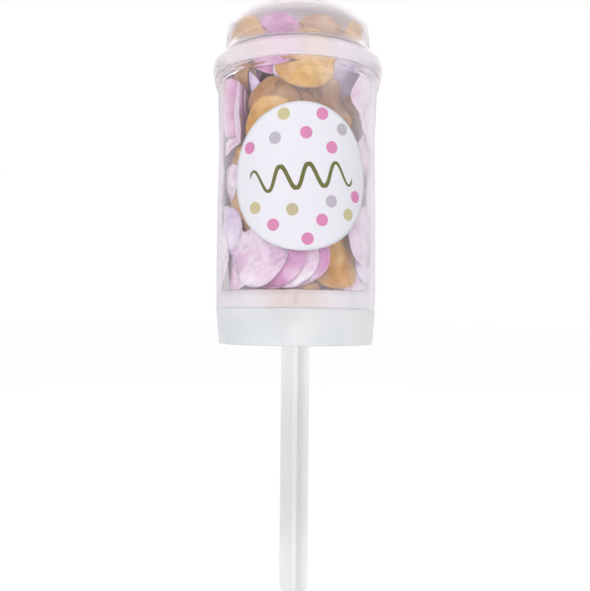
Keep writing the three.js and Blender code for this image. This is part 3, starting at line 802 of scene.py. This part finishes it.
label = paper_disc("printed_label", LABEL_RADIUS, LABEL_RINGS, LABEL_STEPS, on_tube, label_paper)
thicken(label, LABEL_SHEET, 1.0)
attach(label, "barrel")
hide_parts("label")


# Confetti.
# Round discs punched from tissue paper in five colours. They are poured in loosely and press against
# the wall, so they bend, crease and cling to each other. A disc that is placed first lies in front.

SHEET_THICKNESS = 0.12 * MM
SHEET_RADIUS = 8.5 * MM
SHEET_RINGS = 9
SHEET_STEPS = 44
SHEET_GAP = 0.16 * MM  # between the middles of two sheets that cling to each other
WALL_LIMIT = 22.35 * MM
LID_WALL_GAP = 0.3 * MM
AT_WALL = 0.3 * MM
DOUBLE_FOLD_ROUND = 0.5 * MM
CLING_REACH = 15 * MM  # paper nearer the axis than this lies loose
PAPERS = {  # the colour of the paper; its deep colour, for its mottle and the shade painted into its creases; and its painted highlight colour
    "light_pink": ((0.95, 0.74, 0.91, 1), (0.78, 0.47, 0.72, 1), (0.99, 0.92, 0.98, 1)),
    "pink": ((0.80, 0.38, 0.67, 1), (0.60, 0.18, 0.47, 1), (0.90, 0.60, 0.80, 1)),
    "gold": ((0.82, 0.44, 0.11, 1), (0.58, 0.25, 0.05, 1), (0.90, 0.60, 0.26, 1)),
    "tan": ((0.56, 0.28, 0.13, 1), (0.38, 0.17, 0.07, 1), (0.66, 0.40, 0.22, 1)),
    "lilac": ((0.83, 0.64, 0.91, 1), (0.56, 0.38, 0.66, 1), (0.94, 0.86, 0.97, 1)),
}
SHADE_SCALE = 55.0
SHADE_SHARE = 0.75
FIBRE_STRETCH = (14, 60, 1)
FIBRE_SHARE = 0.45
FIBRE_RISE = 0.5
CREASE_SCALE = 150.0
CREASE_BEND = 0.006
CREASE_BEND_SCALE = 160.0
CREASE_SHADE = 0.4
CREASE_WIDTH = 0.09
CREASE_SIDES = 0.16
CREASE_RISE = 0.6
FINE_RISE = 0.3
# Painted highlights: soft sheen patches, a paler cut edge, and paler paper near the wall
SHEEN_SCALE = 90.0
SHEEN_MARKS = (0.45, 0.68, 0.0, 0.9)
WALL_HIGHLIGHT_FROM = 21.2 * MM  # painted highlight: paper near the wall is painted paler from here on
WALL_HIGHLIGHT_SHARE = 0.4
EDGE_HIGHLIGHT_SHARE = 0.4
CUT_EDGE = (0.46, 0.49)  # of the flat disc's width, where a painted highlight lies along the cut edge
FACET_WAYS = [(230, 60, 120), (-90, 180, 260), (150, -120, -190)]  # turns per metre, across the folds
FACET_HEIGHT = 0.45
FACET_SPREAD = 0.02  # metres that the folds' place gains from one edge of a sheet to the other
TISSUE_BUMP = 0.9
TISSUE_RELIEF = 1 * MM
TISSUE_SHINE = 0.25
TISSUE_ROUGHNESS = (0.62, 0.85)
GLOW_SHARE = 0.08

tissue, given, out = new_group(
    "tissue paper",
    {
        "Colour": ("Color", (1, 1, 1, 1)),
        "Deep": ("Color", (0.5, 0.5, 0.5, 1)),
        "Highlight": ("Color", (1, 1, 1, 1)),
    },
    {"Colour": "Color", "Height": "Float", "Roughness": "Float"},
)
spot = add_node(tissue, "ShaderNodeTexCoord").outputs["Object"]
flat_spot = add_node(tissue, "ShaderNodeUVMap", uv_map="flat").outputs["UV"]
stretching = {"Vector": flat_spot, "Scale": FIBRE_STRETCH}
long_fibres = add_node(tissue, "ShaderNodeMapping", stretching).outputs["Vector"]
fibres = noise(tissue, long_fibres, 1.6, 6.0, 0.75)
piece_shade = calculate(tissue, "MULTIPLY", noise(tissue, spot, SHADE_SCALE, 1.0), SHADE_SHARE)
mottle = calculate(tissue, "MULTIPLY_ADD", fibres, FIBRE_SHARE, piece_shade)
shaded = mixed(tissue, ramp(tissue, mottle, 0.35, 0.85), given["Deep"], given["Colour"])

bend_marks = noise(tissue, spot, CREASE_BEND_SCALE, 2.0, output="Color")
bent_spot = on_vectors(tissue, "MULTIPLY_ADD", bend_marks, (CREASE_BEND,) * 3, spot)
crease_looks = {"Vector": bent_spot, "Scale": CREASE_SCALE, "Randomness": 1.0}
crease_net = add_node(tissue, "ShaderNodeTexVoronoi", crease_looks, feature="DISTANCE_TO_EDGE")
creases = crease_net.outputs["Distance"]
# Painted shade: the crease lines are darkened towards the deep colour.
crease_shade = ramp(tissue, creases, 0.0, CREASE_WIDTH, CREASE_SHADE, 0.0)
with_crease_shade = mixed(tissue, crease_shade, shaded, given["Deep"])

# Painted highlights: the cut edge, the paper near the wall and soft sheen patches are mixed towards the
# highlight colour.
from_middle = on_vectors(tissue, "DISTANCE", flat_spot, (0.5, 0.5, 0.0), output="Value")
edge_highlight = ramp(tissue, from_middle, *CUT_EDGE, 0.0, EDGE_HIGHLIGHT_SHARE)
level_spot = on_vectors(tissue, "MULTIPLY", spot, (1, 1, 0))
reach = on_vectors(tissue, "LENGTH", level_spot, output="Value")
wall_highlight = ramp(tissue, reach, WALL_HIGHLIGHT_FROM, WALL_LIMIT, 0.0, WALL_HIGHLIGHT_SHARE)
sheen_marks = ramp(tissue, noise(tissue, spot, SHEEN_SCALE, 2.0), *SHEEN_MARKS)
painted_highlights = highest(tissue, edge_highlight, wall_highlight, sheen_marks)
tissue.links.new(mixed(tissue, painted_highlights, with_crease_shade, given["Highlight"]), out.inputs["Colour"])

crease_height = calculate(tissue, "MULTIPLY", ramp(tissue, creases, 0.0, CREASE_SIDES), CREASE_RISE)
fine_height = calculate(tissue, "MULTIPLY_ADD", fibres, FIBRE_RISE, crease_height)
fine_height = calculate(tissue, "MULTIPLY", fine_height, FINE_RISE)
facet_spot = on_vectors(tissue, "MULTIPLY_ADD", flat_spot, (FACET_SPREAD,) * 3, bent_spot)
for across_facet in FACET_WAYS:
    along = on_vectors(tissue, "DOT_PRODUCT", facet_spot, across_facet, output="Value")
    facet = calculate(tissue, "PINGPONG", along, 1.0)
    fine_height = calculate(tissue, "MULTIPLY_ADD", facet, FACET_HEIGHT, fine_height)
tissue.links.new(fine_height, out.inputs["Height"])
tissue.links.new(ramp(tissue, fibres, 0.3, 0.7, *TISSUE_ROUGHNESS), out.inputs["Roughness"])


def tissue_material(colour_name):
    colour, deep, highlight = PAPERS[colour_name]
    made, tree = new_material("tissue_" + colour_name)
    sheet = use_group(tree, tissue, {"Colour": colour, "Deep": deep, "Highlight": highlight})
    relief = raised(tree, sheet["Height"], TISSUE_BUMP, TISSUE_RELIEF)
    looks = {
        "Base Color": sheet["Colour"],
        "Roughness": sheet["Roughness"],
        "Specular IOR Level": TISSUE_SHINE,
        "Normal": relief,
    }
    front = add_node(tree, "ShaderNodeBsdfPrincipled", looks).outputs[0]
    through = {"Color": sheet["Colour"], "Normal": relief}
    glow = add_node(tree, "ShaderNodeBsdfTranslucent", through).outputs[0]
    add_node(tree, "ShaderNodeOutputMaterial", {"Surface": blend(tree, GLOW_SHARE, front, glow)})
    return made


TISSUE = {colour_name: tissue_material(colour_name) for colour_name in PAPERS}

# The lid's outline is read from the axis outwards, so its first half is the inside
lid_outline = outline_of("lid")
lid_inside = lid_outline[: len(lid_outline) // 2]
over_mouth = sorted((spot.y, spot.x) for spot in lid_inside if spot.y > MOUTH_LEVEL)
inside_heights, inside_radii = zip(*over_mouth)


def room_at(rise):
    """How far from the axis paper may reach at the given heights, in the barrel or in the lid."""
    in_lid = np.interp(rise, inside_heights, inside_radii)
    return np.where(rise < MOUTH_LEVEL, WALL_LIMIT, np.minimum(WALL_LIMIT, in_lid - LID_WALL_GAP))


# How a sheet is crumpled, with lengths in millimetres and phases in radians
BEND_COUNT = 4
BEND_LENGTHS = (7, 17)
BEND_SIZES = (0.16, 0.42)
FOLD_COUNTS = (1, 2, 2, 3)
FOLD_OFFSET = 5
FOLD_SLOPE = 0.16
FOLD_ROUND = 0.35
FOLD_LEVEL = 3
EDGE_WAVES = (3, 4, 5)
WAVE_SIZES = (0.15, 0.4)
PHASES = (0, 6)
TRIMS = (0.005, 0.02)  # share of the radius by which a disc is cut out of round


def crumple(draw, amount):
    """How far a sheet stands out of its even curve: slow bends, a crease or two and a waving edge."""
    bends = []
    for _ in range(BEND_COUNT):
        turn, length = draw.uniform(0, math.pi), draw.uniform(*BEND_LENGTHS) * MM
        bends.append((turn, 2 * math.pi / length, draw.uniform(*PHASES), draw.uniform(*BEND_SIZES) * MM))
    folds = []
    for _ in range(draw.choice(FOLD_COUNTS)):
        turn, offset = draw.uniform(0, math.pi), draw.uniform(-FOLD_OFFSET, FOLD_OFFSET) * MM
        folds.append((turn, offset, draw.uniform(-FOLD_SLOPE, FOLD_SLOPE)))
    waves, wave_phase = draw.choice(EDGE_WAVES), draw.uniform(*PHASES)
    wave_size = draw.uniform(*WAVE_SIZES) * MM

    def out(across, up):
        total = np.zeros_like(across)
        for turn, pace, phase, size in bends:
            total += size * np.sin(pace * (across * math.cos(turn) + up * math.sin(turn)) + phase)
        for turn, offset, slope in folds:
            beyond = across * math.cos(turn) + up * math.sin(turn) - offset
            total += slope * (np.hypot(beyond, FOLD_ROUND * MM) - FOLD_LEVEL * MM)
        edge = (np.hypot(across, up) / SHEET_RADIUS) ** 3
        total += wave_size * edge * np.sin(waves * np.arctan2(up, across) + wave_phase)
        return total * amount

    return out


# How far out the next sheet may lie, on a grid round the axis, once the ones before it are in place
TURN_CELLS = 180
RISE_CELL = 0.7 * MM
RISE_CELLS = int(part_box("lid")[1].z / RISE_CELL) + 1
SMOOTHINGS = 3
MOST_PRESSED = 0.6  # share of its distance from the axis by which a point may be pressed inward
free_reach = np.repeat(room_at(np.arange(RISE_CELLS) * RISE_CELL)[None, :], TURN_CELLS, 0)


def cells_of(spots):
    turns = np.arctan2(spots[..., 0], -spots[..., 1]) / (2 * math.pi) * TURN_CELLS
    rises = np.clip(spots[..., 2] / RISE_CELL, 1, RISE_CELLS - 2)
    return turns.astype(int) % TURN_CELLS, rises.astype(int)


def drape(spots):
    """Presses a sheet's points inward off the sheets that lie before it, and smooths the bends."""
    reach = np.hypot(spots[..., 0], spots[..., 1])
    turn_cell, rise_cell = cells_of(spots)
    free = room_at(spots[..., 2])
    for turn_step in (-1, 0, 1):
        for rise_step in (-1, 0, 1):
            near = free_reach[(turn_cell + turn_step) % TURN_CELLS, rise_cell + rise_step]
            free = np.minimum(free, near - SHEET_GAP)
    pressed = np.maximum(reach - free, 0)
    for _ in range(SMOOTHINGS):
        even = (np.roll(pressed, 1, 1) + np.roll(pressed, -1, 1)) / 4 + pressed / 2
        even[1:-1] = even[1:-1] / 2 + (even[2:] + even[:-2]) / 4
        pressed = np.maximum(even, reach - free)
    new_reach = reach - np.minimum(pressed, reach * MOST_PRESSED)
    return spots * np.stack([new_reach / reach, new_reach / reach, np.ones_like(reach)], -1)


def mark_reach(spots):
    reach = np.hypot(spots[..., 0], spots[..., 1])
    turn_cell, rise_cell = cells_of(spots)
    clings = reach > CLING_REACH
    np.minimum.at(free_reach, (turn_cell[clings], rise_cell[clings]), reach[clings])


def add_sheet(name, colour, place, seed, amount=1.0, held_off=True, draped=True):
    """A bent tissue disc. place gives the points on its even curve and the way out of it. A draped sheet
    lies behind the ones before it, and the ones after it are held off it."""
    draw = random.Random(seed)
    out_of_curve = crumple(draw, amount)
    trim, trim_turn = draw.uniform(*TRIMS), draw.uniform(*PHASES)
    turn = 2 * math.pi * np.arange(SHEET_STEPS) / SHEET_STEPS
    radius = SHEET_RADIUS * np.arange(SHEET_RINGS + 1) / SHEET_RINGS
    radius = radius[:, None] * (1 - trim * (1 + np.sin(2 * turn + trim_turn)) / 2)[None, :]
    across, up = radius * np.cos(turn), radius * np.sin(turn)
    spots, way = place(across, up)
    spots = spots + way * out_of_curve(across, up)[..., None]
    if draped:
        spots = drape(spots)
    if held_off:
        mark_reach(spots)
    rows = [[Vector(spots[0].mean(0))]] + [[Vector(spot) for spot in ring] for ring in spots[1:]]
    order = iter([spot for row in rows for spot in row])
    made = paper_disc(
        name, SHEET_RADIUS, SHEET_RINGS, SHEET_STEPS, lambda *at: next(order), TISSUE[colour]
    )
    thicken(made, SHEET_THICKNESS)
    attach(made, "confetti")
    return made


NEARLY_LEVEL = 1e-3


def curve_of(node):
    """The even curve through a paper node: a surface of the second degree, level in its first direction."""
    points = np.array([v.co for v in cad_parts[node].data.vertices])
    middle = points.mean(0)
    normal = np.linalg.svd(points - middle, full_matrices=False)[2][2]
    if normal[:2] @ middle[:2] < 0:
        normal = -normal
    right = np.cross((0, 0, 1), normal)
    tilt = np.linalg.norm(right)
    right = right / tilt if tilt > NEARLY_LEVEL else np.array((1.0, 0, 0))
    upward = np.cross(normal, right)
    u, v, w = ((points - middle) @ np.array([right, upward, normal]).T).T
    terms = np.stack([np.ones_like(u), u, v, u * u, u * v, v * v], 1)
    fit = np.linalg.lstsq(terms, w, rcond=None)[0]
    half_width = (u.max() - u.min() + v.max() - v.min()) / 4
    shrink = half_width / SHEET_RADIUS

    def place(across, up):
        a, b = across * shrink, up * shrink
        rise = np.stack([np.ones_like(a), a, b, a * a, a * b, b * b], -1) @ fit
        return middle + a[..., None] * right + b[..., None] * upward + rise[..., None] * normal, normal

    return place


def leaning(turn, rise, depth, tip=0.0, swing=0.0):
    """An even curve that follows the wall, at a depth behind it, tipped back and swung sideways."""

    def place(across, up):
        bend = WALL_LIMIT - depth
        angle = turn + across / bend
        reach = bend - tip * up - swing * across
        spots = np.stack([reach * np.sin(angle), -reach * np.cos(angle), rise + up], -1)
        way = np.stack([np.sin(angle), -np.cos(angle), np.zeros_like(angle)], -1)
        return spots, way

    return place


def lying(middle, turn, tip, curl):
    """A disc lying free, whose face looks towards a turn from the front and up by tip."""
    normal = np.array((math.sin(turn) * math.cos(tip), -math.cos(turn) * math.cos(tip), math.sin(tip)))
    right = np.array((math.cos(turn), math.sin(turn), 0))
    upward = np.cross(right, normal) * -1

    def place(across, up):
        rise = curl * (across / SHEET_RADIUS) ** 2
        spots = np.array(middle) + across[..., None] * right
        spots = spots + up[..., None] * upward + rise[..., None] * normal
        return spots, normal

    return place


def folded_double(turn, rise, spread):
    """A disc folded along its upright middle. The fold lies at the wall and both halves run backward."""

    def place(across, up):
        bend = WALL_LIMIT - AT_WALL
        beyond = np.hypot(across, DOUBLE_FOLD_ROUND) - DOUBLE_FOLD_ROUND
        right = bend * math.sin(turn) + across * math.sin(spread)
        back = -bend * math.cos(turn) + beyond * math.cos(spread)
        return np.stack([right, back, rise + up], -1), np.array((math.sin(turn), -math.cos(turn), 0))

    return place


# Discs that lie flat at the tube's left and right sides: the turn in degrees and the height in millimetres
SIDE_SEED = 700
SIDE_CRUMPLE = 0.8
SIDES = [
    (-80, 24.3, "light_pink"),
    (-94, 36, "lilac"),
    (-98, 47, "light_pink"),
    (-95, 58, "pink"),
    (-98, 68, "pink"),
    (-93, 75, "tan"),
    (80, 62.5, "light_pink"),
    (82, 43, "lilac"),
    (97, 24.5, "lilac"),
    (95, 34, "light_pink"),
    (98, 52, "light_pink"),
    (98, 70, "tan"),
    (95, 76, "light_pink"),
]
for number, (turn, rise, colour) in enumerate(SIDES, 1):
    curve = leaning(math.radians(turn), rise * MM, AT_WALL)
    add_sheet(f"paper_side_{number:02d}", colour, curve, SIDE_SEED + number, SIDE_CRUMPLE)

# One disc folded double at the upper left, and one that leans in the dome
DOUBLE_SEED = 751
DOUBLE_CRUMPLE = 0.4
double_curve = folded_double(math.radians(-46), 64.3 * MM, math.radians(11))
add_sheet("paper_double_01", "light_pink", double_curve, DOUBLE_SEED, DOUBLE_CRUMPLE)

DOME_SEED = 851
DOME_CRUMPLE = 0.7
dome_curve = lying(Vector((-6.0, -12.8, 84.4)) * MM, math.radians(-22), math.radians(38), -0.8 * MM)
add_sheet("paper_dome", "pink", dome_curve, DOME_SEED, DOME_CRUMPLE)

# The discs that are nodes of their own, some of them crumpled more, and a tan one set deep between two of
# them as painted shade in the hollow there
MORE_CRUMPLED = {
    "confetti_gold_08": 1.2,
    "confetti_pink_13": 1.8,
    "confetti_lilac_09": 1.8,
    "confetti_tan_19": 2.0,
}
BETWEEN_AFTER = "confetti_tan_17"
BETWEEN_SEED = 860
paper_nodes = sorted((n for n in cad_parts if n.startswith("confetti")), key=lambda n: n[-2:])
for number, node in enumerate(paper_nodes):
    colour = node.removeprefix("confetti_")[:-3]
    amount = MORE_CRUMPLED.get(node, 1.0)
    sheet = add_sheet(node.replace("confetti", "paper"), colour, curve_of(node), number, amount)
    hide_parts(node)
    # Painted shade: a tan disc set deep in the hollow after this one darkens it.
    if node == BETWEEN_AFTER:
        add_sheet("paper_between_shade", "tan", leaning(math.radians(-1), 62.0 * MM, 5.5 * MM), BETWEEN_SEED)


# More confetti.
# The rest of the hundred or so discs: a second lining behind the first pieces, with a few hollows left
# in it, some that stand up into the lid, and a few that lie on top of the pile.

FIRST_SEED = 77
first_curve = leaning(math.radians(1.5), 76.6 * MM, 0.9 * MM, 0.04)
add_sheet("paper_lining_000", "light_pink", first_curve, FIRST_SEED)

# Low discs: the turn in degrees, the colour, the depth in millimetres and whether it is draped
LOWEST = 23.8 * MM  # the middle of a disc that stands on the piston
LOW_SEED = 800
LOW_CRUMPLE = 0.4
LOW = [
    (-56, "light_pink", 2.2, False),
    (-20, "pink", 3.0, False),
    (12, "tan", 0.9, True),
    (48, "light_pink", 0.9, True),
    (74, "lilac", 0.9, True),
    (-84, "lilac", 0.9, True),
]
for number, (turn, colour, depth, draped) in enumerate(LOW, 1):
    curve = leaning(math.radians(turn), LOWEST, depth * MM)
    add_sheet(f"paper_low_{number:02d}", colour, curve, LOW_SEED + number, LOW_CRUMPLE, draped, draped)

LINING_SEED = 11
LINING_SHEET_SEED = 200
LINING_ROW_SEED = 20
LINING_ROWS = 8
LINING_TURNS = 13
LINING_LOW = 25 * MM
LINING_HIGH = 76 * MM
LINING_DEPTH = 1.2 * MM
LINING_SHIFT = 0.2
LINING_TIPS = (-0.15, 0.2)
LINING_SWINGS = (-0.2, 0.2)
LINING_COLOURS = ("pink", "light_pink", "lilac", "tan", "pink", "light_pink", "gold", "lilac", "pink")
HOLLOWS = [(-30, 78, 13), (4, 68, 10), (50, 66, 9), (-44, 44, 8)]  # turn in degrees, height and size in mm


def in_hollow(turn, rise):
    """Whether a piece would fill one of the dark hollows that the poured paper leaves at the wall."""
    for hollow_turn, hollow_rise, size in HOLLOWS:
        off = math.remainder(turn - math.radians(hollow_turn), 2 * math.pi) * WALL_LIMIT
        if math.hypot(off, rise - hollow_rise * MM) < size * MM:
            return True
    return False


draw = random.Random(LINING_SEED)
for row in range(LINING_ROWS):
    rise = LINING_LOW + (LINING_HIGH - LINING_LOW) * row / (LINING_ROWS - 1)
    for step in range(LINING_TURNS):
        shift = draw.uniform(-LINING_SHIFT, LINING_SHIFT)
        turn = 2 * math.pi * (step + 0.5 * (row % 2) + shift) / LINING_TURNS
        colour = LINING_COLOURS[(row * 4 + step * 2 + draw.choice((0, 1))) % len(LINING_COLOURS)]
        curve = leaning(turn, rise, LINING_DEPTH, draw.uniform(*LINING_TIPS), draw.uniform(*LINING_SWINGS))
        if not in_hollow(turn, rise):
            number = row * LINING_TURNS + step + 1
            seed = LINING_SHEET_SEED + row * LINING_ROW_SEED + step
            add_sheet(f"paper_lining_{number:03d}", colour, curve, seed)

# Discs that stand up into the lid: the turn in degrees, the height and depth in millimetres and the tip
STANDING_SEED = 600
STANDING = [
    ("gold", -52, 84.0, 1.4, 0.12),
    ("pink", -19, 82.4, 2.4, 0.2),
    ("tan", 18, 82.0, 2.2, 0.16),
    ("gold", 62, 83.4, 2.2, 0.10),
    ("light_pink", 95, 82.5, 2.4, 0.12),
    ("lilac", 150, 82.0, 2.2, 0.10),
    ("pink", 205, 82.5, 2.4, 0.12),
    ("gold", 250, 82.0, 2.2, 0.10),
    ("light_pink", -78, 82.2, 2.6, 0.12),
]
for number, (colour, turn, rise, depth, tip) in enumerate(STANDING, 1):
    curve = leaning(math.radians(turn), rise * MM, depth * MM, tip)
    add_sheet(f"paper_standing_{number:02d}", colour, curve, STANDING_SEED + number)

# Discs that lie on top: the middle in millimetres, and the turn and the tip in degrees
TOP_SEED = 500
TOP_CURL = 0.6 * MM
TOP_PAPERS = [
    ("lilac", (0.0, 6.0, 87.6), 180, 66),
    ("tan", (8.0, 3.0, 87.2), 140, 60),
    ("light_pink", (-7.0, 0.0, 87.2), 220, 60),
]
for number, (colour, middle, turn, tip) in enumerate(TOP_PAPERS, 1):
    curve = lying(Vector(middle) * MM, math.radians(turn), math.radians(tip), TOP_CURL)
    add_sheet(f"paper_top_{number:02d}", colour, curve, TOP_SEED + number, held_off=False)
